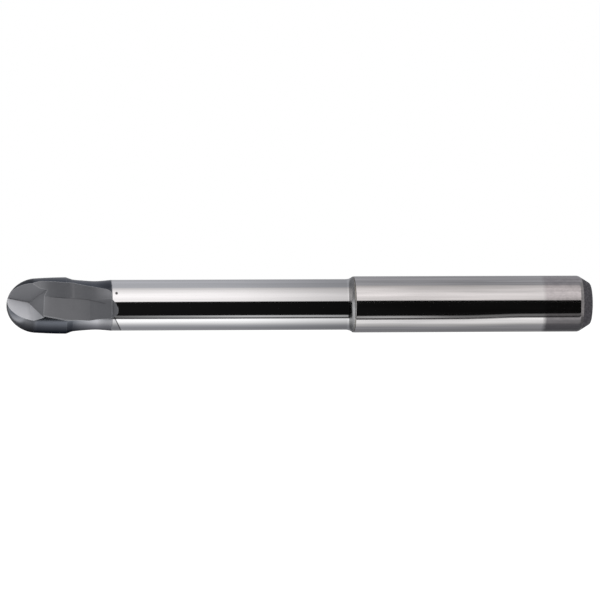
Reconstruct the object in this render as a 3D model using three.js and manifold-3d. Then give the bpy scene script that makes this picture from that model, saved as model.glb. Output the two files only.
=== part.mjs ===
// A long-reach ball-nose end mill with two right-hand flutes, built up from a coated carbide head,
// a polished neck bar and a full-size shank, silver-brazed spigot in socket.
// Millimetres. The tool lies along X: the tip is at -X and the tail's flat end is at the origin.
//
// Sections across the tool use two coordinates: "angle" turns about the axis from -Y towards -Z,
// and "radius" is the distance from the axis. Lengths along the tool start at the tip.
import * as THREE from "three";
import { mergeVertices } from "three/addons/utils/BufferGeometryUtils.js";
import Module from "manifold-3d";

const wasm = await Module();
wasm.setup();

// Driving dimensions.
const CUT_DIAMETER = 12;
const SHANK_DIAMETER = 12;
const NECK_DIAMETER = 10.8;
const OVERALL_LENGTH = 125;

const BALL_RADIUS = CUT_DIAMETER / 2;
const SHANK_RADIUS = SHANK_DIAMETER / 2;
const NECK_RADIUS = NECK_DIAMETER / 2;

// Head: the lands end in a short slope, and behind it the head has a shallow waist.
const LAND_END = 12.6;
const SLOPE_END = 13.9;
const SLOPE_END_RADIUS = 5.53;
const WAIST_START = 15.3;
const WAIST_START_RADIUS = 5.37;
const WAIST_AT = 18.9;
const WAIST_RADIUS = 5.16;
const HEAD_LENGTH = 22.15;
const LAND_RELIEF = 0.08; // share of the radius lost a quarter turn behind the cutting edge, at the tip
const LAND_RINGS = [8.2, 10.5]; // extra rings of points that let the relief fade smoothly

// Flutes: two flats and a narrow rake face, each {angle of its normal, distance from the axis}.
const FLUTE_COUNT = 2;
const HELIX = THREE.MathUtils.degToRad(12);
const TWIST = Math.tan(HELIX) / BALL_RADIUS;
const EDGE_ANGLE = 30; // of the cutting edge, in the section below
const SECTION_AT = 11.4; // where along the tool the angles hold
const RAKE_FACE = { angle: -58, distance: 0.21 };
const FLUTE_FACE = { angle: -20.2, distance: 3.56 };
const FLUTE_HEEL = { angle: 2, distance: 3.17 };
const WAIST_HEEL = { angle: -15.8, distance: 3.5 };
const HEEL_SHIFT_LENGTH = 1.5; // the heel face turns from one to the other behind the lands
const LEAD_IN_END = 7;
const LEAD_IN_SLOPE = 0.5;
const RUN_OUT_START = 17.4;
const RUN_OUT_LENGTH = 6.1;
const RUN_OUT_FACE = { angle: -12, distance: 5.39 };
const RUN_OUT_HEEL = { angle: -54, distance: 5.95 };
const CUTTER_REACH = 9;
const CUTTER_OUTSIDE = 12;
const CUTTER_OVERRUN = 0.6;
const FLUTE_STEPS = 32;

// Gash that carries the rake face to the centre of the ball: each face is a point and the way it looks.
// Both are {along the tool, towards -Y, towards -Z}.
const GASH_RAKE = { point: [0, 0.7, -0.93], normal: [0.12, 0.602, -0.799] };
const GASH_TOE = { point: [5.18, 4.95, 3.29], normal: [-0.327, 0.617, -0.716] };
const GASH_BACK = { point: [4.35, 0.09, -0.73], normal: [-0.18, 0.8, 0.575] };
const GASH_RAMP = { point: [4.77, 0.376, -0.458], normal: [-0.696, 0.618, -0.365] };

// Brazed joints: a spigot in a socket, with a film of filler between them.
const FILLER = 0.1;
const FILLER_CLEARANCE = 0.01;
const HEAD_SPIGOT = { radius: 2.4, length: 5.5 };
const SHANK_SPIGOT = { radius: 4.2, length: 24 };
const SPIGOT_CHAMFER = 0.4;

// Neck and shank.
const SHOULDER_AT = 73.8;
const FILLET_LENGTH = 1.6;
const FILLET_STEPS = 6;
const SHOULDER_BREAK = 0.04;
const TAIL_CHAMFER_LENGTH = 2.7;
const TAIL_CHAMFER_DEPTH = 1.7;
const TAIL_CORNER = 0.9;

const TURN_SEGMENTS = 72;
const BALL_STEPS = 14;
const WAIST_STEPS = 14;
const CORNER_STEPS = 6;

const carbideCoating = new THREE.MeshStandardMaterial({ color: 0x66676c, roughness: 0.42, metalness: 0.8 });
const polishedNeck = new THREE.MeshStandardMaterial({ color: 0xc9cacd, roughness: 0.08, metalness: 1 });
const groundShank = new THREE.MeshStandardMaterial({ color: 0xbdb9ba, roughness: 0.16, metalness: 1 });
const silverFiller = new THREE.MeshStandardMaterial({ color: 0xcfc9b8, roughness: 0.35, metalness: 1 });

// Closed solid of revolution about X from an outline of Vector2(radius, along).
function turned(outline) {
  return new THREE.LatheGeometry(outline, TURN_SEGMENTS).rotateZ(-Math.PI / 2);
}

function at(radius, along) {
  return new THREE.Vector2(radius, along);
}

// Points on a circular arc, from one angle to the other, measured from the outward radius.
function arc(centreRadius, centreAlong, radius, from, to, steps) {
  const points = [];
  for (let i = 0; i <= steps; i++) {
    const turn = from + ((to - from) * i) / steps;
    points.push(at(centreRadius + radius * Math.cos(turn), centreAlong + radius * Math.sin(turn)));
  }
  return points;
}

function solidOf(geometry) {
  const bare = geometry.clone();
  bare.deleteAttribute("normal");
  bare.deleteAttribute("uv");
  const merged = mergeVertices(bare, 1e-4);
  return new wasm.Manifold(
    new wasm.Mesh({
      numProp: 3,
      vertProperties: merged.attributes.position.array,
      triVerts: new Uint32Array(merged.index.array),
    }),
  );
}

function geometryOf(solid) {
  const mesh = solid.getMesh();
  const geometry = new THREE.BufferGeometry();
  geometry.setAttribute("position", new THREE.BufferAttribute(mesh.vertProperties, 3));
  geometry.setIndex(new THREE.BufferAttribute(mesh.triVerts, 1));
  return geometry;
}

// --- Flutes -----------------------------------------------------------------------------------

function degrees(value) {
  return THREE.MathUtils.degToRad(value);
}

// A straight line in the section, as the angle of its normal in radians and its distance.
function line(face, far, share, lift) {
  return {
    angle: degrees(THREE.MathUtils.lerp(face.angle, far.angle, share)),
    distance: THREE.MathUtils.lerp(face.distance, far.distance, share) + lift,
  };
}

function crossing(a, b) {
  const scale = Math.sin(b.angle - a.angle);
  return [
    (a.distance * Math.sin(b.angle) - b.distance * Math.sin(a.angle)) / scale,
    (b.distance * Math.cos(a.angle) - a.distance * Math.cos(b.angle)) / scale,
  ];
}

function pointOnLine(a, reach) {
  return [
    a.distance * Math.cos(a.angle) - reach * Math.sin(a.angle),
    a.distance * Math.sin(a.angle) + reach * Math.cos(a.angle),
  ];
}

// The six corners of what a flute removes at one place along the tool, before the twist.
function fluteSection(along) {
  const share = Math.max(0, (along - RUN_OUT_START) / RUN_OUT_LENGTH);
  const lift = LEAD_IN_SLOPE * Math.max(0, LEAD_IN_END - along);
  const shift = THREE.MathUtils.clamp((along - LAND_END) / HEEL_SHIFT_LENGTH, 0, 1);
  const rake = line(RAKE_FACE, RAKE_FACE, 0, 0);
  const face = line(FLUTE_FACE, RUN_OUT_FACE, share, lift);
  const heel =
    share > 0 ? line(WAIST_HEEL, RUN_OUT_HEEL, share, lift) : line(FLUTE_HEEL, WAIST_HEEL, shift, lift);
  return [
    pointOnLine(rake, CUTTER_REACH),
    crossing(rake, face),
    crossing(face, heel),
    pointOnLine(heel, -CUTTER_REACH),
    [CUTTER_OUTSIDE, -CUTTER_OUTSIDE],
    [CUTTER_OUTSIDE, CUTTER_OUTSIDE / 2],
  ];
}

// A hexagonal prism whose corners are moved to the flute's section at each step.
function fluteCutter() {
  const start = -1;
  const end = RUN_OUT_START + RUN_OUT_LENGTH + CUTTER_OVERRUN;
  const corners = 6;
  const hexagon = [];
  for (let i = 0; i < corners; i++) {
    const turn = (2 * Math.PI * i) / corners;
    hexagon.push(new THREE.Vector2(Math.cos(turn), Math.sin(turn)));
  }
  const outline = new THREE.Shape(hexagon);
  const prism = new THREE.ExtrudeGeometry(outline, {
    depth: end - start,
    steps: FLUTE_STEPS,
    bevelEnabled: false,
  });
  const position = prism.attributes.position;
  for (let i = 0; i < position.count; i++) {
    const along = start + position.getZ(i);
    const turn = Math.atan2(position.getY(i), position.getX(i));
    const corner = (Math.round((turn * corners) / (2 * Math.PI)) + corners) % corners;
    const [near, low] = fluteSection(along)[corner];
    const twist = TWIST * (along - SECTION_AT);
    position.setXYZ(
      i,
      along,
      -(near * Math.cos(twist) - low * Math.sin(twist)),
      -(near * Math.sin(twist) + low * Math.cos(twist)),
    );
  }
  return solidOf(prism);
}

// --- Gashes -----------------------------------------------------------------------------------

// Everything in front of a face, as a block large enough to cover the ball.
function inFrontOf({ point, normal }) {
  const size = 40;
  const block = new THREE.BoxGeometry(size, size, size).translate(0, 0, size / 2);
  const way = new THREE.Vector3(normal[0], -normal[1], -normal[2]).normalize();
  const turn = new THREE.Quaternion().setFromUnitVectors(new THREE.Vector3(0, 0, 1), way);
  block.applyQuaternion(turn).translate(point[0], -point[1], -point[2]);
  return solidOf(block);
}

function gashCutter() {
  return inFrontOf(GASH_RAKE)
    .intersect(inFrontOf(GASH_TOE))
    .intersect(inFrontOf(GASH_BACK))
    .intersect(inFrontOf(GASH_RAMP));
}

// --- Pieces -----------------------------------------------------------------------------------

// The land falls away behind each cutting edge, most at the tip and not at all at the land's end.
function relieveLands(geometry) {
  const position = geometry.attributes.position;
  for (let i = 0; i < position.count; i++) {
    const along = position.getX(i);
    if (along > LAND_END) continue;
    const angle = Math.atan2(-position.getZ(i), -position.getY(i));
    const behind = angle - degrees(EDGE_ANGLE) - TWIST * (along - SECTION_AT);
    const fade = Math.cos((Math.PI / 2) * (along / LAND_END)) ** 2;
    const scale = 1 - LAND_RELIEF * fade * Math.sin(behind) ** 2;
    position.setY(i, position.getY(i) * scale);
    position.setZ(i, position.getZ(i) * scale);
  }
  return geometry;
}

function headBlank() {
  const waist = new THREE.SplineCurve([
    at(SLOPE_END_RADIUS, SLOPE_END),
    at(WAIST_START_RADIUS, WAIST_START),
    at(WAIST_RADIUS, WAIST_AT),
    at(NECK_RADIUS, HEAD_LENGTH),
  ]);
  const socketRadius = HEAD_SPIGOT.radius + FILLER;
  const socketEnd = HEAD_LENGTH - HEAD_SPIGOT.length;
  const ball = arc(0, BALL_RADIUS, BALL_RADIUS, -Math.PI / 2, 0, BALL_STEPS);
  ball[0].x = 0;
  return turned([
    ...ball,
    ...LAND_RINGS.map((along) => at(BALL_RADIUS, along)),
    at(BALL_RADIUS, LAND_END),
    ...waist.getPoints(WAIST_STEPS),
    at(socketRadius, HEAD_LENGTH),
    at(socketRadius, socketEnd),
    at(0, socketEnd),
  ]);
}

// The film of filler in a joint: it lines the socket and comes out between the two end faces.
// The spigot points along "way" from the joint: -1 towards the tip, 1 towards the tail.
function braze(jointAt, outerRadius, spigot, way) {
  const inner = spigot.radius + FILLER_CLEARANCE;
  const outer = spigot.radius + FILLER - FILLER_CLEARANCE;
  const closed = jointAt + way * (spigot.length + FILLER - FILLER_CLEARANCE);
  const spigotEnd = jointAt + way * (spigot.length + FILLER_CLEARANCE);
  const socketFace = jointAt + way * (FILLER - FILLER_CLEARANCE);
  const collarFace = jointAt + way * FILLER_CLEARANCE;
  const outline = [
    at(0, closed),
    at(outer, closed),
    at(outer, socketFace),
    at(outerRadius, socketFace),
    at(outerRadius, collarFace),
    at(inner, collarFace),
    at(inner, spigotEnd),
    at(0, spigotEnd),
  ];
  return turned(way < 0 ? outline : outline.reverse());
}

function neckBlank() {
  const front = HEAD_LENGTH + FILLER;
  const tip = front - HEAD_SPIGOT.length;
  const rise = SHANK_RADIUS - SHOULDER_BREAK - NECK_RADIUS;
  const filletRadius = (rise ** 2 + FILLET_LENGTH ** 2) / (2 * rise);
  const filletEnd = Math.asin(FILLET_LENGTH / filletRadius);
  const fillet = [];
  for (let i = 0; i <= FILLET_STEPS; i++) {
    const turn = (filletEnd * i) / FILLET_STEPS;
    fillet.push(
      at(
        NECK_RADIUS + filletRadius * (1 - Math.cos(turn)),
        SHOULDER_AT - FILLET_LENGTH + filletRadius * Math.sin(turn),
      ),
    );
  }
  const rear = SHANK_SPIGOT;
  return turned([
    at(0, tip),
    at(HEAD_SPIGOT.radius - SPIGOT_CHAMFER, tip),
    at(HEAD_SPIGOT.radius, tip + SPIGOT_CHAMFER),
    at(HEAD_SPIGOT.radius, front),
    at(NECK_RADIUS, front),
    ...fillet,
    at(rear.radius, SHOULDER_AT),
    at(rear.radius, SHOULDER_AT + rear.length - SPIGOT_CHAMFER),
    at(rear.radius - SPIGOT_CHAMFER, SHOULDER_AT + rear.length),
    at(0, SHOULDER_AT + rear.length),
  ]);
}

function shankBody() {
  const front = SHOULDER_AT + FILLER;
  const socketRadius = SHANK_SPIGOT.radius + FILLER;
  const socketEnd = SHOULDER_AT + SHANK_SPIGOT.length + FILLER;
  const slope = Math.atan2(TAIL_CHAMFER_DEPTH, TAIL_CHAMFER_LENGTH);
  const faceRadius = SHANK_RADIUS - TAIL_CHAMFER_DEPTH - TAIL_CORNER * Math.tan((Math.PI / 2 - slope) / 2);
  const cornerAt = OVERALL_LENGTH - TAIL_CORNER;
  const corner = arc(faceRadius, cornerAt, TAIL_CORNER, slope, Math.PI / 2, CORNER_STEPS);
  return turned([
    at(0, socketEnd),
    at(socketRadius, socketEnd),
    at(socketRadius, front),
    at(SHANK_RADIUS - SHOULDER_BREAK, front),
    at(SHANK_RADIUS, front + SHOULDER_BREAK),
    at(SHANK_RADIUS, OVERALL_LENGTH - TAIL_CHAMFER_LENGTH),
    ...corner,
    at(0, OVERALL_LENGTH),
  ]);
}

// --- Assembly ---------------------------------------------------------------------------------

const tool = new THREE.Group();
tool.position.x = -OVERALL_LENGTH;

function add(name, geometry, material) {
  const mesh = new THREE.Mesh(geometry, material);
  mesh.name = name;
  tool.add(mesh);
}

const flute = fluteCutter();
const gash = gashCutter();
let head = solidOf(relieveLands(headBlank()));
let neck = solidOf(neckBlank());
for (let i = 0; i < FLUTE_COUNT; i++) {
  const turn = [(360 * i) / FLUTE_COUNT, 0, 0];
  head = head.subtract(flute.rotate(turn)).subtract(gash.rotate(turn));
  neck = neck.subtract(flute.rotate(turn));
}

add("ball_head", geometryOf(head), carbideCoating);
add("head_braze", braze(HEAD_LENGTH + FILLER, NECK_RADIUS, HEAD_SPIGOT, -1), silverFiller);
add("neck_bar", geometryOf(neck), polishedNeck);
add("shank_braze", braze(SHOULDER_AT, SHANK_RADIUS - SHOULDER_BREAK, SHANK_SPIGOT, 1), silverFiller);
add("shank", shankBody(), groundShank);

const endMill = new THREE.Group();
endMill.add(tool);

export default endMill;
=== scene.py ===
"""A long-reach ball-nose end mill on white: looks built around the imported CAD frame."""
import math

import bmesh
import bpy
from mathutils import Matrix, Vector


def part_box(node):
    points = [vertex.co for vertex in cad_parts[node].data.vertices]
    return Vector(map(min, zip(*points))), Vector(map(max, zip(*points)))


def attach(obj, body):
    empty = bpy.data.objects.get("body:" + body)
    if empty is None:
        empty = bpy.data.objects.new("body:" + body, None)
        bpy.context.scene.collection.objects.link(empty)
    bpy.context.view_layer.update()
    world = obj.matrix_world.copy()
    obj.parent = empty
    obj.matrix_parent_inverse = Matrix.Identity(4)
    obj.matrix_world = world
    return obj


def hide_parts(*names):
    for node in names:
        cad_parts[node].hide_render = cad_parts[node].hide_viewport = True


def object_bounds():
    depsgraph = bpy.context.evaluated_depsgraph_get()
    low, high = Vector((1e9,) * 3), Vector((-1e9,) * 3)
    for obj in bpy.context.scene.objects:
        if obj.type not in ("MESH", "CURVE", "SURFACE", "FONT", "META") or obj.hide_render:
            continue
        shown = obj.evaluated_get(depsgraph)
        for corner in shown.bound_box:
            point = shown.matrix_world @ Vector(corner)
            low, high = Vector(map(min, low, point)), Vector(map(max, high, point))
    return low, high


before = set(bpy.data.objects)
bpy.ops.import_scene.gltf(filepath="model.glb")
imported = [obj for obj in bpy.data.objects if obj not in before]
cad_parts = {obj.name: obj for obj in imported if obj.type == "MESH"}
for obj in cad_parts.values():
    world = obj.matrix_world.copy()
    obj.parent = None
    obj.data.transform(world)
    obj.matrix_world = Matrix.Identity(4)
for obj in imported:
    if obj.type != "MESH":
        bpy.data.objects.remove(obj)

CAD_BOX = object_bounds()

# --- Sizes, in millimetres along the tool from the tip, or outwards from its axis --------------

MM = 0.001
TIP_X = CAD_BOX[0].x
LENGTH = (CAD_BOX[1].x - TIP_X) / MM
BALL_RADIUS = CAD_BOX[1].z / MM
SHANK_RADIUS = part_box("shank")[1].z / MM
NECK_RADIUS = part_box("head_braze")[1].z / MM
HEAD_LENGTH = (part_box("ball_head")[1].x - TIP_X) / MM
FILLER = 0.1
SHOULDER_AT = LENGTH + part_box("shank")[0].x / MM - FILLER

LAND_END = 12.6
SLOPE_END = (13.9, 5.53)
WAIST = ((15.3, 5.37), (18.9, 5.16))
LAND_RELIEF = 0.08

TWIST = math.tan(math.radians(12)) / BALL_RADIUS
EDGE_ANGLE = 30
SECTION_AT = 11.4
RAKE_FACE = (-58, 0.21)
FLUTE_FACE = (-20.2, 3.56)
FLUTE_HEEL = (2, 3.17)
WAIST_HEEL = (-15.8, 3.5)
HEEL_SHIFT_LENGTH = 1.5
LEAD_IN_END = 7
LEAD_IN_SLOPE = 0.5
RUN_OUT_START = 17.4
RUN_OUT_LENGTH = 6.1
RUN_OUT_FACE = (-12, 5.39)
RUN_OUT_HEEL = (-54, 5.95)

CUTTER_START = -1
CUTTER_OVERRUN = 0.6
CUTTER_REACH = 9
CUTTER_OUTSIDE = 12
CUTTER_BELOW = 6

CREASE_LOW = (-1.54, -1.83)
CREASE_SPAN = (9.0, 16.0)
GASH_RAKE = ((0, 0.7, -0.93), (0.12, 0.602, -0.799))
GASH_TOE = ((5.18, 4.95, 3.29), (-0.327, 0.617, -0.716))
GASH_BACK = ((4.35, 0.09, -0.73), (-0.18, 0.8, 0.575))
GASH_RAMP = ((4.77, 0.376, -0.458), (-0.696, 0.618, -0.365))

FILLET_LENGTH = 1.6
SHOULDER_BREAK = 0.04
FRONT_ROUND = 0.2
TAIL_CHAMFER = (2.7, 1.7)
TAIL_CORNER = 0.9
LIP = 0.6
CHAMFER_EDGE = 0.45
NECK_FRONT_BAND = 2

COAT_EDGE_SLOPE = 0.55
COAT_EDGE_BACK = 0.92
DARK_SPOT_PAST_HEAD = 0.95
DARK_SPOT_ABOVE = 2.55
OVERSPRAY_LENGTH = 10.6

# --- Fineness of the meshes, and the angles in degrees past which an edge is shaded sharp --------

TURN_SEGMENTS = 192
TUNNEL_SEGMENTS = 180
FLUTE_STEPS = 64
BALL_STEPS = 40
LAND_STEPS = 12
WAIST_STEPS = 12
FILLET_STEPS = 16
CORNER_STEPS = 8
SHARP_ANGLE = 30
FINE_SHARP_ANGLE = 8

# --- Colours ---------------------------------------------------------------------------------------

# A light grey for painted highlights.
PAINTED_HIGHLIGHT_GREY = (0.80, 0.80, 0.84, 1)
# A lighter grey for painted highlights on the sharp edges.
EDGE_HIGHLIGHT_GREY = (0.62, 0.63, 0.66, 1)
FLUTE_COAT = ((0.092, 0.094, 0.103, 1), (0.108, 0.110, 0.120, 1))
COAT_EDGE_BLACK = (0.03, 0.03, 0.035, 1)

# --- The studio, in metres, and the width of the view over the tool's --------------------------

TUNNEL_RADIUS = 0.6
TUNNEL_ENDS = (-1.4, 0.42)
VIEW_OVER_TOOL = 1.0281


# --- Node trees ----------------------------------------------------------------------------------

class Tree:
    """Builds one material's nodes: make() adds a node, and a value that is a socket is linked."""

    def __init__(self, material):
        material.use_nodes = True
        self.nodes = material.node_tree.nodes
        self.links = material.node_tree.links
        self.nodes.clear()

    def make(self, kind, inputs=None, **settings):
        node = self.nodes.new(kind)
        for key, value in settings.items():
            setattr(node, key, value)
        for key, value in (inputs or {}).items():
            self.feed(node.inputs[key], value)
        return node

    def feed(self, socket, value):
        if isinstance(value, bpy.types.NodeSocket):
            self.links.new(value, socket)
        else:
            socket.default_value = value

    def math(self, operation, a, b=0.0, clamp=False):
        return self.make("ShaderNodeMath", {0: a, 1: b}, operation=operation, use_clamp=clamp).outputs[0]

    def times(self, a, b):
        return self.math("MULTIPLY", a, b)

    def ramp(self, factor, stops):
        node = self.make("ShaderNodeValToRGB", {"Fac": factor})
        elements = node.color_ramp.elements
        while len(elements) < len(stops):
            elements.new(0.5)
        for element, (place, value) in zip(elements, stops):
            element.position = place
            element.color = value if isinstance(value, tuple) else (value, value, value, 1)
        return node.outputs["Color"]

    def mix(self, factor, a, b, blend="MIX"):
        node = self.make("ShaderNodeMix", data_type="RGBA", blend_type=blend)
        self.feed(node.inputs[0], factor)
        self.feed(node.inputs[6], a)
        self.feed(node.inputs[7], b)
        return node.outputs[2]

    def noise(self, scale, detail, roughness):
        """Noise over the tool, with scale cells to the metre along each axis."""
        inputs = {"Vector": self.place(scale), "Scale": 1.0, "Detail": detail, "Roughness": roughness}
        return self.make("ShaderNodeTexNoise", inputs).outputs["Fac"]

    def place(self, scale):
        """The point on the tool in metres, in the frame of the part, with each axis scaled."""
        point = self.make("ShaderNodeTexCoord").outputs["Object"]
        return self.make("ShaderNodeMapping", {"Vector": point, "Scale": scale}).outputs["Vector"]

    def parts(self):
        point = self.make("ShaderNodeTexCoord").outputs["Object"]
        return self.make("ShaderNodeSeparateXYZ", {"Vector": point}).outputs

    def along(self):
        """Millimetres from the tip."""
        return self.times(self.math("SUBTRACT", self.parts()[0], TIP_X), 1 / MM)

    def low_side(self):
        """Millimetres below the axis."""
        return self.times(self.parts()[2], -1 / MM)

    def painted_crease_shade(self):
        """Painted shade: the fine dark line where a flute's two faces meet, followed round the helix."""
        point = self.parts()
        turn = self.times(self.math("SUBTRACT", self.along(), SECTION_AT), -TWIST)
        cosine = self.math("COSINE", turn)
        sine = self.math("SINE", turn)
        near = self.times(point[1], -1 / MM)
        low = self.low_side()
        across = self.math("SUBTRACT", self.times(near, cosine), self.times(low, sine))
        down = self.math("ADD", self.times(near, sine), self.times(low, cosine))
        down = self.times(down, self.math("SIGN", across))
        middle = self.make("ShaderNodeMapRange", {
            "Value": self.along(),
            "From Min": CREASE_SPAN[0],
            "From Max": CREASE_SPAN[1],
            "To Min": CREASE_LOW[0],
            "To Max": CREASE_LOW[1],
        }).outputs["Result"]
        off = self.math("ABSOLUTE", self.math("SUBTRACT", down, middle))
        mask = self.step(off, 0.13, 0.05)
        inside = self.step(self.math("ABSOLUTE", across), 4.3, 4.2)
        ends = self.times(self.step(self.along(), 8.6, 9.6), self.step(self.along(), 22.4, 21.4))
        return self.times(self.times(mask, inside), self.times(ends, 0.6))

    def step(self, value, start, end):
        """0 before start, 1 past end, and even in between. start may be the larger."""
        node = self.make("ShaderNodeMapRange", {"Value": value, "From Min": start, "From Max": end})
        return node.outputs["Result"]

    def surface(self, shader):
        output = self.make("ShaderNodeOutputMaterial")
        self.links.new(shader.outputs[0], output.inputs["Surface"])


def grey(value):
    return (value, value, value, 1)


def coated_carbide(name, low, high, metallic, roughness, ior, edge_highlight, highlight_zones=()):
    """Dark satin coating over ground carbide: grinding lines show through it, painted highlights lighten
    the sharp edges, and painted shade darkens the corners. Each highlight zone is (share, start and end
    along the tool, start and end below the axis), a painted highlight. A metallic of 0 also paints
    light on what faces straight up or down, and one of 1 paints shade on the underside."""
    material = bpy.data.materials.new(name)
    tree = Tree(material)
    grain = tree.noise((500, 2600, 2600), 3.0, 0.6)
    cloud = tree.noise((220, 260, 260), 3.0, 0.55)
    blend = tree.math("ADD", tree.times(grain, 0.4), tree.times(cloud, 0.6))
    colour = tree.ramp(blend, [(0.3, low), (0.7, high)])
    # Painted highlights: each zone mixes the coat towards a light grey.
    for share, start, end, top, bottom in highlight_zones:
        zone = tree.times(tree.step(tree.along(), start, end), tree.step(tree.low_side(), top, bottom))
        colour = tree.mix(tree.times(zone, share), colour, PAINTED_HIGHLIGHT_GREY)
    # Painted highlight: sharp convex edges are mixed towards a lighter grey.
    softened = tree.make("ShaderNodeBevel", {"Radius": 0.22 * MM}, samples=8)
    facing = tree.make("ShaderNodeNewGeometry").outputs["Normal"]
    upward = tree.math("ABSOLUTE", tree.make("ShaderNodeSeparateXYZ", {"Vector": facing}).outputs[2])
    between = tree.make("ShaderNodeVectorMath", {0: softened.outputs[0], 1: facing}, operation="DOT_PRODUCT")
    corner = tree.make("ShaderNodeAmbientOcclusion", {"Distance": 0.45 * MM}, samples=12, only_local=True)
    edge = tree.ramp(between.outputs["Value"], [(0.965, 1.0), (0.999, 0.0)])
    painted_edge_highlight = tree.times(edge, tree.step(corner.outputs["AO"], 0.80, 0.97))
    # Painted shade: corners and creases are darkened by the occlusion found there.
    shaded = tree.ramp(corner.outputs["AO"], [(0.35, 0.25), (0.85, 1.0)])
    colour = tree.mix(1.0, colour, shaded, "MULTIPLY")
    colour = tree.mix(tree.times(painted_edge_highlight, edge_highlight), colour, EDGE_HIGHLIGHT_GREY)
    # Painted light: faces that look straight up or down are mixed towards a light grey.
    if metallic == 0.0:
        bright = tree.times(tree.step(upward, 0.78, 0.86), 0.22)
        colour = tree.mix(bright, colour, PAINTED_HIGHLIGHT_GREY)
    # Painted shade along the flute crease, a fine dark line.
    colour = tree.mix(tree.painted_crease_shade(), colour, (0.035, 0.035, 0.04, 1))
    rough = tree.math("ADD", roughness - 0.05, tree.times(grain, 0.10))
    bump = tree.make("ShaderNodeBump", {"Height": grain, "Strength": 0.10, "Distance": 0.00002})
    shader = tree.make("ShaderNodeBsdfPrincipled", {
        "Base Color": colour,
        "Metallic": metallic,
        "Roughness": rough,
        "IOR": ior,
        "Normal": bump.outputs["Normal"],
    })
    # Painted shade: the underside is darkened, in its colour and in the tint of its reflections.
    if metallic == 1.0:
        under = tree.step(tree.low_side(), 3.6, 5.4)
        tint = tree.mix(under, grey(1.0), (0.20, 0.20, 0.21, 1))
        shadowed = tree.mix(tree.times(under, 0.2), colour, (0.02, 0.02, 0.025, 1))
        tree.feed(shader.inputs["Specular Tint"], tint)
        tree.feed(shader.inputs["Base Color"], shadowed)
    tree.surface(shader)
    return material


def polished(name, bright, dull, roughness, streak_depth, zones):
    """Polished metal with fine lengthwise streaks, and the marks of "zones" on it."""
    material = bpy.data.materials.new(name)
    tree = Tree(material)
    fine = tree.noise((14, 2400, 2400), 3.0, 0.6)
    broad = tree.noise((30, 700, 700), 3.0, 0.55)
    streak = tree.math("ADD", tree.times(fine, 0.45), tree.times(broad, 0.55))
    colour = tree.ramp(streak, [(0.32, dull), (0.6, bright)])
    rough = tree.math("ADD", roughness, tree.times(streak, roughness * 0.8))
    colour, rough = zones(tree, colour, rough)
    bump = tree.make("ShaderNodeBump", {"Height": streak, "Strength": streak_depth, "Distance": 0.00001})
    shader = tree.make("ShaderNodeBsdfPrincipled", {
        "Base Color": colour,
        "Metallic": 1.0,
        "Roughness": rough,
        "Normal": bump.outputs["Normal"],
    })
    tree.surface(shader)
    return material


def tail_marks(tree, colour, rough):
    """A mottled overspray by the tail, darker towards the bottom."""
    spots = tree.noise((700, 900, 900), 4.0, 0.7)
    edge = tree.math("ADD", tree.along(), tree.times(spots, 0.9))
    zone = tree.step(edge, LENGTH - OVERSPRAY_LENGTH, LENGTH - OVERSPRAY_LENGTH + 1)
    mottle = tree.ramp(spots, [(0.30, (0.66, 0.64, 0.65, 1)), (0.70, (0.86, 0.83, 0.84, 1))])
    under = tree.times(tree.step(tree.low_side(), 2.2, 3.0), 0.72)
    mottle = tree.mix(under, mottle, (0.08, 0.08, 0.09, 1))
    colour = tree.mix(zone, colour, tree.mix(1.0, colour, mottle, "MULTIPLY"))
    return colour, tree.math("ADD", rough, tree.times(zone, 0.025))


def front_marks(tree, colour, rough):
    """Where the head's coating stops: a slanted edge below, and one dark spot above; and painted shade on
    the neck towards the shoulder.
    """
    along = tree.along()
    low = tree.low_side()
    edge = tree.math("ADD", tree.times(low, COAT_EDGE_SLOPE), HEAD_LENGTH - COAT_EDGE_BACK)
    below = tree.step(low, 2.2, 2.7)
    past = tree.math("SUBTRACT", along, edge)
    film = tree.times(tree.step(past, 0.1, -0.1), below)
    colour = tree.mix(tree.times(film, 0.45), colour, (0.16, 0.16, 0.17, 1))
    rim = tree.times(tree.step(tree.math("ABSOLUTE", past), 0.17, 0.07), below)
    colour = tree.mix(tree.times(rim, 0.85), colour, COAT_EDGE_BLACK)
    aside = tree.math("POWER", tree.math("SUBTRACT", along, HEAD_LENGTH + DARK_SPOT_PAST_HEAD), 2.0)
    above = tree.math("POWER", tree.math("ADD", low, DARK_SPOT_ABOVE), 2.0)
    spread = tree.math("SQRT", tree.math("ADD", aside, above))
    dark_spot = tree.times(tree.step(spread, 0.36, 0.22), tree.step(tree.parts()[1], 0.0, -0.001))
    colour = tree.mix(tree.times(dark_spot, 0.9), colour, (0.03, 0.025, 0.025, 1))
    # Painted shade: the neck darkens towards the shoulder.
    painted_shoulder_shade = tree.times(tree.step(along, HEAD_LENGTH + 28, SHOULDER_AT - FILLET_LENGTH), 0.28)
    colour = tree.mix(painted_shoulder_shade, colour, (0.12, 0.12, 0.125, 1))
    turned_zone = tree.times(tree.step(along, SHOULDER_AT - 1.5, SHOULDER_AT - 0.9), 0.13)
    softened = tree.times(tree.step(along, SHOULDER_AT - 0.75, SHOULDER_AT - 0.25), 0.25)
    return colour, tree.math("ADD", rough, tree.math("ADD", turned_zone, softened))


def blasted(name):
    """The dark rough chamfer at the tail."""
    material = bpy.data.materials.new(name)
    tree = Tree(material)
    grit = tree.noise((2600, 2600, 2600), 4.0, 0.7)
    colour = tree.ramp(grit, [(0.3, (0.035, 0.033, 0.040, 1)), (0.7, (0.150, 0.142, 0.160, 1))])
    bump = tree.make("ShaderNodeBump", {"Height": grit, "Strength": 0.6, "Distance": 0.00008})
    shader = tree.make("ShaderNodeBsdfPrincipled", {
        "Base Color": colour,
        "Metallic": 0.6,
        "Roughness": 0.5,
        "Normal": bump.outputs["Normal"],
    })
    tree.surface(shader)
    return material


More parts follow.
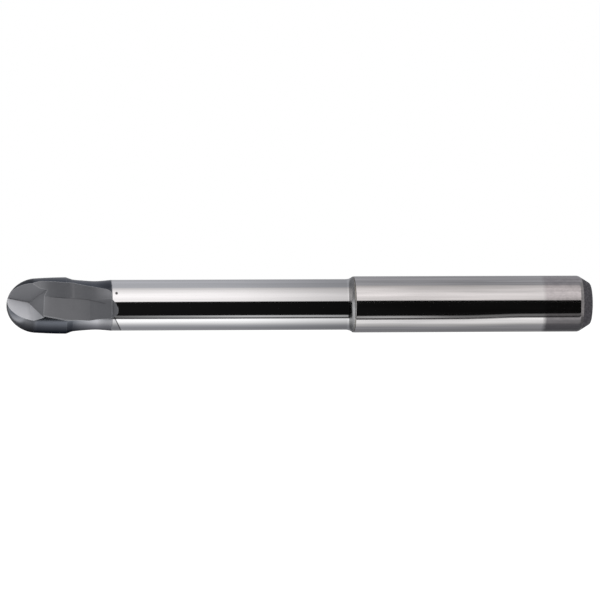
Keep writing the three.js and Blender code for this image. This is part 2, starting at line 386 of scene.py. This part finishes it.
def filler(name, low, high):
    """Dull silver braze."""
    material = bpy.data.materials.new(name)
    tree = Tree(material)
    cloud = tree.noise((1500, 1500, 1500), 3.0, 0.6)
    colour = tree.ramp(cloud, [(0.3, low), (0.7, high)])
    shader = tree.make("ShaderNodeBsdfPrincipled", {
        "Base Color": colour,
        "Metallic": 1.0,
        "Roughness": 0.32,
    })
    tree.surface(shader)
    return material


# --- Mesh building -------------------------------------------------------------------------------

def point(along, near, low):
    """A point of the frame, in metres, from millimetres along the tool, towards -Y and towards -Z."""
    return Vector((TIP_X + along * MM, -near * MM, -low * MM))


def mesh_object(name, bm, materials):
    bmesh.ops.recalc_face_normals(bm, faces=bm.faces)
    mesh = bpy.data.meshes.new(name)
    bm.to_mesh(mesh)
    bm.free()
    for material in materials:
        mesh.materials.append(material)
    shade(mesh, SHARP_ANGLE)
    made = bpy.data.objects.new(name, mesh)
    bpy.context.scene.collection.objects.link(made)
    return made


def shade(mesh, sharp_angle):
    """Smooth shading, with every edge past sharp_angle degrees kept sharp."""
    mesh.polygons.foreach_set("use_smooth", [True] * len(mesh.polygons))
    mesh.set_sharp_from_angle(angle=math.radians(sharp_angle))
    mesh.update()


def turned(name, outline, materials, pick=None, shape=None):
    """A closed solid of revolution from (radius, along) points that start and end on the axis.
    pick gives a band's material from its middle, and shape moves a point."""
    bm = bmesh.new()
    rings = []
    for radius, along in outline:
        if radius < 1e-6:
            rings.append([bm.verts.new(point(along, 0, 0))])
            continue
        ring = []
        for i in range(TURN_SEGMENTS):
            turn = 2 * math.pi * i / TURN_SEGMENTS
            reach = radius * (shape(along, turn) if shape else 1)
            ring.append(bm.verts.new(point(along, reach * math.cos(turn), reach * math.sin(turn))))
        rings.append(ring)
    for k in range(len(rings) - 1):
        a, b = rings[k], rings[k + 1]
        band = pick((outline[k][1] + outline[k + 1][1]) / 2) if pick else 0
        for i in range(TURN_SEGMENTS):
            j = (i + 1) % TURN_SEGMENTS
            corners = [a[i % len(a)], a[j % len(a)], b[j % len(b)], b[i % len(b)]]
            face = bm.faces.new(list(dict.fromkeys(corners)))
            face.material_index = band
    return mesh_object(name, bm, materials)


def baked(made):
    """Applies the object's modifiers to its mesh."""
    graph = bpy.context.evaluated_depsgraph_get()
    mesh = bpy.data.meshes.new_from_object(made.evaluated_get(graph))
    made.modifiers.clear()
    made.data = mesh


def combine(made, other, operation):
    cut = made.modifiers.new("cut", "BOOLEAN")
    cut.object = other
    cut.operation = operation
    cut.solver = "EXACT"
    cut.material_mode = "TRANSFER"
    baked(made)


def half_turned(made):
    """A copy of a cutter turned half round the tool's axis."""
    mesh = made.data.copy()
    mesh.transform(Matrix.Rotation(math.pi, 4, "X"))
    copy = bpy.data.objects.new(made.name + "_opposite", mesh)
    bpy.context.scene.collection.objects.link(copy)
    return copy


def line(face, painted_shoulder_shade, share, lift):
    """A line of the section, as the direction and distance of its nearest point to the axis, part of
    the way from one (degrees, distance) face to another."""
    angle = math.radians(face[0] + (painted_shoulder_shade[0] - face[0]) * share)
    return angle, face[1] + (painted_shoulder_shade[1] - face[1]) * share + lift


def crossing(a, b):
    """Where two lines of the section meet."""
    scale = math.sin(b[0] - a[0])
    near = (a[1] * math.sin(b[0]) - b[1] * math.sin(a[0])) / scale
    low = (b[1] * math.cos(a[0]) - a[1] * math.cos(b[0])) / scale
    return near, low


def on_line(a, reach):
    """The point of a line that lies reach beyond its nearest point to the axis."""
    return (
        a[1] * math.cos(a[0]) - reach * math.sin(a[0]),
        a[1] * math.sin(a[0]) + reach * math.cos(a[0]),
    )


def flute_section(along):
    """The six corners of what a flute removes at one place along the tool."""
    share = max(0, (along - RUN_OUT_START) / RUN_OUT_LENGTH)
    lift = LEAD_IN_SLOPE * max(0, LEAD_IN_END - along)
    rake = line(RAKE_FACE, RAKE_FACE, 0, 0)
    face = line(FLUTE_FACE, RUN_OUT_FACE, share, lift)
    shift = min(max((along - LAND_END) / HEEL_SHIFT_LENGTH, 0), 1)
    if share > 0:
        heel = line(WAIST_HEEL, RUN_OUT_HEEL, share, lift)
    else:
        heel = line(FLUTE_HEEL, WAIST_HEEL, shift, lift)
    return [
        on_line(rake, CUTTER_REACH),
        crossing(rake, face),
        crossing(face, heel),
        on_line(heel, -CUTTER_REACH),
        (CUTTER_OUTSIDE, -CUTTER_OUTSIDE),
        (CUTTER_OUTSIDE, CUTTER_BELOW),
    ]


def flute_cutter(materials):
    """The flute's section carried along the tool, turning with the helix."""
    end = RUN_OUT_START + RUN_OUT_LENGTH + CUTTER_OVERRUN
    bm = bmesh.new()
    rings = []
    for k in range(FLUTE_STEPS + 1):
        along = CUTTER_START + (end - CUTTER_START) * k / FLUTE_STEPS
        twist = TWIST * (along - SECTION_AT)
        ring = []
        for near, low in flute_section(along):
            across = near * math.cos(twist) - low * math.sin(twist)
            down = near * math.sin(twist) + low * math.cos(twist)
            ring.append(bm.verts.new(point(along, across, down)))
        rings.append(ring)
    for a, b in zip(rings, rings[1:]):
        for i in range(len(a)):
            j = (i + 1) % len(a)
            bm.faces.new([a[i], a[j], b[j], b[i]])
    bm.faces.new(rings[0])
    bm.faces.new(rings[-1])
    for face in bm.faces:
        face.material_index = 1
    return mesh_object("flute_cutter", bm, materials)


def block_before(name, face, materials, index):
    """A large block whose near side is the given face."""
    place, normal = face
    size = 40 * MM
    bm = bmesh.new()
    bmesh.ops.create_cube(bm, size=size)
    bmesh.ops.translate(bm, verts=bm.verts, vec=(0, 0, size / 2))
    way = Vector((normal[0], -normal[1], -normal[2])).normalized()
    turn = Vector((0, 0, 1)).rotation_difference(way).to_matrix()
    bmesh.ops.rotate(bm, verts=bm.verts, cent=(0, 0, 0), matrix=turn)
    bmesh.ops.translate(bm, verts=bm.verts, vec=point(*place))
    for piece in bm.faces:
        piece.material_index = index
    return mesh_object(name, bm, materials)


def gash_cutter(materials):
    """What four flat faces enclose at the tip, with the rake and the toe in the rake's coat."""
    cutter = block_before("gash_rake", GASH_RAKE, materials, 2)
    others = (("gash_toe", GASH_TOE, 2), ("gash_back", GASH_BACK, 1), ("gash_ramp", GASH_RAMP, 1))
    for name, face, index in others:
        other = block_before(name, face, materials, index)
        combine(cutter, other, "INTERSECT")
        bpy.data.objects.remove(other)
    return cutter


def land_relief(along, turn):
    """Share of the radius left behind the cutting edges, least at the tip."""
    if along > LAND_END:
        return 1
    behind = turn - math.radians(EDGE_ANGLE) - TWIST * (along - SECTION_AT)
    fade = math.cos(math.pi / 2 * along / LAND_END) ** 2
    return 1 - LAND_RELIEF * fade * math.sin(behind) ** 2


def smooth_through(points, steps):
    """Points on a Catmull-Rom curve through the given (radius, along) points."""
    ends = [points[0]] + list(points) + [points[-1]]
    made = []
    for i in range(1, len(ends) - 2):
        a, b, c, d = (Vector(p) for p in ends[i - 1:i + 3])
        for k in range(steps):
            t = k / steps
            made.append(tuple(0.5 * (
                2 * b + (c - a) * t + (2 * a - 5 * b + 4 * c - d) * t * t + (3 * b - a - 3 * c + d) * t ** 3
            )))
    return made + [points[-1]]


def head_outline():
    ball = []
    for i in range(BALL_STEPS + 1):
        turn = math.pi / 2 * i / BALL_STEPS
        ball.append((BALL_RADIUS * math.sin(turn), BALL_RADIUS * (1 - math.cos(turn))))
    land = []
    for i in range(1, LAND_STEPS + 1):
        land.append((BALL_RADIUS, BALL_RADIUS + (LAND_END - BALL_RADIUS) * i / LAND_STEPS))
    waist = [(SLOPE_END[1], SLOPE_END[0])] + [(r, s) for s, r in WAIST] + [(NECK_RADIUS, HEAD_LENGTH)]
    return ball + land + smooth_through(waist, WAIST_STEPS) + [(0, HEAD_LENGTH)]


def neck_outline():
    front = HEAD_LENGTH + FILLER
    rise = SHANK_RADIUS - SHOULDER_BREAK - NECK_RADIUS
    radius = (rise ** 2 + FILLET_LENGTH ** 2) / (2 * rise)
    end = math.asin(FILLET_LENGTH / radius)
    fillet = []
    for i in range(FILLET_STEPS + 1):
        turn = end * i / FILLET_STEPS
        fillet.append((
            NECK_RADIUS + radius * (1 - math.cos(turn)),
            SHOULDER_AT - FILLET_LENGTH + radius * math.sin(turn),
        ))
    bar = [(0, front), (NECK_RADIUS, front), (NECK_RADIUS, front + NECK_FRONT_BAND)]
    return bar + fillet + [(0, SHOULDER_AT)]


def shank_outline():
    front = SHOULDER_AT + FILLER
    slope = math.atan2(TAIL_CHAMFER[1], TAIL_CHAMFER[0])
    face = SHANK_RADIUS - TAIL_CHAMFER[1] - TAIL_CORNER * math.tan((math.pi / 2 - slope) / 2)
    corner = []
    for i in range(CORNER_STEPS + 1):
        turn = slope + (math.pi / 2 - slope) * i / CORNER_STEPS
        corner.append((
            face + TAIL_CORNER * math.cos(turn),
            LENGTH - TAIL_CORNER + TAIL_CORNER * math.sin(turn),
        ))
    rim = []
    for i in range(CORNER_STEPS + 1):
        turn = math.pi / 2 * (1 - i / CORNER_STEPS)
        rim.append((
            SHANK_RADIUS - FRONT_ROUND + FRONT_ROUND * math.cos(turn),
            front + FRONT_ROUND - FRONT_ROUND * math.sin(turn),
        ))
    chamfer = LENGTH - TAIL_CHAMFER[0]
    bend = CHAMFER_EDGE / math.tan(slope / 2)
    edge = []
    for i in range(CORNER_STEPS + 1):
        turn = slope * i / CORNER_STEPS
        edge.append((
            SHANK_RADIUS - bend + bend * math.cos(turn),
            chamfer - CHAMFER_EDGE + bend * math.sin(turn),
        ))
    lip = (SHANK_RADIUS - LIP * math.tan(slope), chamfer + LIP)
    return [(0, front), *rim, *edge, lip, *corner, (0, LENGTH)]


# --- Pieces --------------------------------------------------------------------------------------

def stands_for(piece, node):
    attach(piece, "root")
    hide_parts(node)


def make_head_and_neck(coats, neck_material):
    head = turned("cutting_head", head_outline(), coats, shape=land_relief)
    neck = turned("neck", neck_outline(), [neck_material, coats[1]])
    flute = flute_cutter(coats)
    gash = gash_cutter(coats)
    neck_flute = flute_cutter([neck_material, coats[1]])
    for cutter in (flute, half_turned(flute), gash, half_turned(gash)):
        combine(head, cutter, "DIFFERENCE")
        bpy.data.objects.remove(cutter)
    for cutter in (neck_flute, half_turned(neck_flute)):
        combine(neck, cutter, "DIFFERENCE")
        bpy.data.objects.remove(cutter)
    shade(head.data, FINE_SHARP_ANGLE)
    shade(neck.data, FINE_SHARP_ANGLE)
    stands_for(head, "ball_head")
    stands_for(neck, "neck_bar")


def make_shank(ground, rough):
    def pick(along):
        return 1 if along > LENGTH - TAIL_CHAMFER[0] + LIP else 0

    shank = turned("round_shank", shank_outline(), [ground, rough], pick=pick)
    stands_for(shank, "shank")


# --- Studio --------------------------------------------------------------------------------------

def hide_from(made, *rays):
    for ray in rays:
        setattr(made, "visible_" + ray, False)


def at(elevation):
    """The ramp's place for an elevation in degrees, seen from the tool and measured from its front."""
    return elevation / 360 + 0.5


def warm(value):
    return (value * 1.015, value * 0.982, value * 0.975, 1)


def cool(value):
    return (value * 0.985, value * 0.995, value * 1.05, 1)


STRIPS = [
    (at(-178), 0.55), (at(-165), 0.40), (at(-150), cool(0.28)), (at(-130), cool(0.28)),
    (at(-118), cool(0.33)), (at(-108), cool(0.40)), (at(-98), 0.60), (at(-88), 0.90),
    (at(-76), 1.16), (at(-66.5), 1.22), (at(-65.5), 0.10), (at(-58.5), 0.10),
    (at(-57.5), 0.62), (at(-49.0), 0.52), (at(-48.0), 0.007), (at(14.6), 0.007),
    (at(15.8), warm(0.95)), (at(24), warm(0.98)), (at(40), warm(1.13)), (at(56), warm(0.99)),
    (at(70), warm(0.82)), (at(81), warm(0.66)), (at(86), cool(0.46)), (at(112), cool(0.42)),
    (at(125), cool(0.48)), (at(150), cool(0.42)), (at(165), cool(0.44)), (at(178), 0.5),
]
END_WALL = [
    (at(-178), 0.9), (at(-75), 0.9), (at(-45), 1.0), (at(14), 1.0),
    (at(26), 0.10), (at(110), 0.10), (at(135), 0.5),
]
FADE_ALONG = [
    (0.0, 0.9), (0.345, 0.9), (0.455, 0.42), (0.76, 0.34),
    (0.832, 1.0), (0.873, 0.95), (0.909, 0.80), (1.0, 0.85),
]


def strip_material():
    """Light by elevation round the tunnel, faded along it, with a wall of its own at the far end."""
    material = bpy.data.materials.new("studio_strips")
    tree = Tree(material)
    parts = tree.parts()
    angle = tree.math("ARCTAN2", parts[2], tree.times(parts[1], -1.0))
    turn = tree.math("ADD", tree.times(angle, 0.5 / math.pi), 0.5)
    lower = tree.step(turn, 0.46, 0.42)
    rise = tree.times(tree.step(parts[0], 0.034, 0.066), -7.0 / 360)
    turn = tree.math("ADD", turn, tree.times(lower, rise))
    colour = tree.ramp(turn, STRIPS)
    fade = tree.ramp(tree.step(parts[0], -1.0, 0.10), FADE_ALONG)
    thin = tree.times(tree.step(turn, at(-60.5), at(-60.0)), tree.step(turn, at(-46.0), at(-46.5)))
    ahead = tree.times(tree.step(parts[0], -0.026, -0.075), 0.88)
    behind = tree.times(tree.step(parts[0], -0.005, 0.024), 0.6)
    gap = tree.times(thin, tree.math("ADD", ahead, behind))
    colour = tree.mix(gap, colour, grey(0.0))
    colour = tree.mix(tree.step(parts[0], -0.48, -0.58), colour, tree.ramp(turn, END_WALL))
    faded = tree.mix(1.0, colour, fade, "MULTIPLY")
    tree.surface(tree.make("ShaderNodeEmission", {"Color": faded, "Strength": 1.0}))
    return material


def studio_tunnel():
    """Soft strips all round the tool, seen only in its reflections: a bright strip above the front,
    a dark one at eye level, and a lit table below that falls off towards the back."""
    bm = bmesh.new()
    rings = []
    for x in TUNNEL_ENDS:
        ring = []
        for i in range(TUNNEL_SEGMENTS):
            turn = 2 * math.pi * i / TUNNEL_SEGMENTS
            ring.append(bm.verts.new((x, TUNNEL_RADIUS * math.cos(turn), TUNNEL_RADIUS * math.sin(turn))))
        rings.append(ring)
    for i in range(TUNNEL_SEGMENTS):
        j = (i + 1) % TUNNEL_SEGMENTS
        bm.faces.new([rings[0][i], rings[0][j], rings[1][j], rings[1][i]])
    tunnel = mesh_object("studio_strips", bm, [strip_material()])
    hide_from(tunnel, "camera", "diffuse", "shadow", "transmission")


def pale_floor():
    material = bpy.data.materials.new("pale_floor")
    tree = Tree(material)
    lit = tree.make("ShaderNodeEmission", {"Color": grey(1.0), "Strength": 0.97})
    soft = tree.make("ShaderNodeBsdfDiffuse", {"Color": grey(0.12)})
    tree.surface(tree.make("ShaderNodeAddShader", {0: lit.outputs[0], 1: soft.outputs[0]}))
    bm = bmesh.new()
    bmesh.ops.create_grid(bm, x_segments=1, y_segments=1, size=4)
    bmesh.ops.translate(bm, verts=bm.verts, vec=(0, 0, CAD_BOX[0].z))
    floor = mesh_object("pale_floor", bm, [material])
    hide_from(floor, "glossy", "diffuse")


def white_world():
    world = bpy.data.worlds.new("white_room")
    bpy.context.scene.world = world
    tree = Tree(world)
    path = tree.make("ShaderNodeLightPath")
    seen = tree.make("ShaderNodeBackground", {"Color": grey(1.0), "Strength": 1.0})
    felt = tree.make("ShaderNodeBackground", {"Color": grey(1.0), "Strength": 0.35})
    white = tree.math("ADD", path.outputs["Is Camera Ray"], path.outputs["Is Diffuse Ray"], clamp=True)
    both = tree.make("ShaderNodeMixShader", {0: white, 1: felt.outputs[0], 2: seen.outputs[0]})
    output = tree.make("ShaderNodeOutputWorld")
    tree.links.new(both.outputs[0], output.inputs["Surface"])


def camera():
    """A long lens a little towards the tip's side, level with the tool."""
    azimuth = math.radians(-5.5)
    roll = math.radians(0.21)
    lens = 300
    sensor = 36
    low, high = CAD_BOX
    centre = (low + high) / 2
    half_view = (high.x - low.x) * math.cos(azimuth) * VIEW_OVER_TOOL / 2
    distance = half_view * lens / (sensor / 2)
    data = bpy.data.cameras.new("camera")
    data.lens = lens
    data.sensor_width = sensor
    data.clip_start = 0.01
    data.clip_end = 20
    made = bpy.data.objects.new("camera", data)
    bpy.context.scene.collection.objects.link(made)
    back = Vector((math.sin(azimuth), -math.cos(azimuth), 0))
    made.location = centre + back * distance
    made.rotation_mode = "QUATERNION"
    look = (-back).to_track_quat("-Z", "Y")
    made.rotation_quaternion = look @ Matrix.Rotation(-roll, 3, "Z").to_quaternion()
    data.shift_x = 0.0002
    data.shift_y = 0.0077
    bpy.context.scene.camera = made


def head_coats():
    """The coats of the lands, of the flutes and of the gash's rake, in the order of the slots."""
    # The zones listed with each coat are painted highlights.
    land = coated_carbide(
        "coated_land", (0.130, 0.141, 0.166, 1), (0.165, 0.178, 0.207, 1),
        metallic=1.0, roughness=0.22, ior=1.5, edge_highlight=0.6,
        highlight_zones=[(0.85, 13.5, 19.0, 0.5, 4.0), (0.35, 6.5, 4.0, 1.5, 3.0)],
    )
    flute = coated_carbide(
        "coated_flute", *FLUTE_COAT,
        metallic=0.0, roughness=0.30, ior=1.6, edge_highlight=0.25,
        highlight_zones=[
            (0.06, 9.0, 7.5, 3.0, -1.0),
            (0.04, 10.5, 6.0, 6.0, 5.9),
            (0.12, 18.5, 21.5, -0.8, -2.4),
        ],
    )
    # Lighter than the flute coat: partly the bare carbide of the ground rake face, partly painted light on
    # a face turned up towards the light.
    rake = coated_carbide(
        "coated_rake", (0.36, 0.365, 0.39, 1), (0.44, 0.445, 0.47, 1),
        metallic=0.3, roughness=0.30, ior=1.6, edge_highlight=0.3,
        highlight_zones=[(0.72, 6.6, 4.2, 6.0, 5.9)],
    )
    return [land, flute, rake]


def main():
    camera()
    white_world()
    pale_floor()
    studio_tunnel()
    coats = head_coats()
    neck = polished("polished_neck", (0.93, 0.93, 0.94, 1), (0.80, 0.80, 0.81, 1), 0.045, 0.10, front_marks)
    ground = polished("ground_shank", (0.82, 0.80, 0.80, 1), (0.52, 0.51, 0.51, 1), 0.055, 0.35, tail_marks)
    make_head_and_neck(coats, neck)
    make_shank(ground, blasted("blasted_chamfer"))
    seam = coated_carbide("coated_seam", *FLUTE_COAT, metallic=0.0, roughness=0.30, ior=1.6, edge_highlight=0.0)
    silver = filler("silver_filler", (0.42, 0.40, 0.35, 1), (0.70, 0.67, 0.60, 1))
    for node, look in (("head_braze", seam), ("shank_braze", silver)):
        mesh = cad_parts[node].data
        mesh.materials.clear()
        mesh.materials.append(look)
    bpy.context.scene.view_settings.view_transform = "Standard"


main()
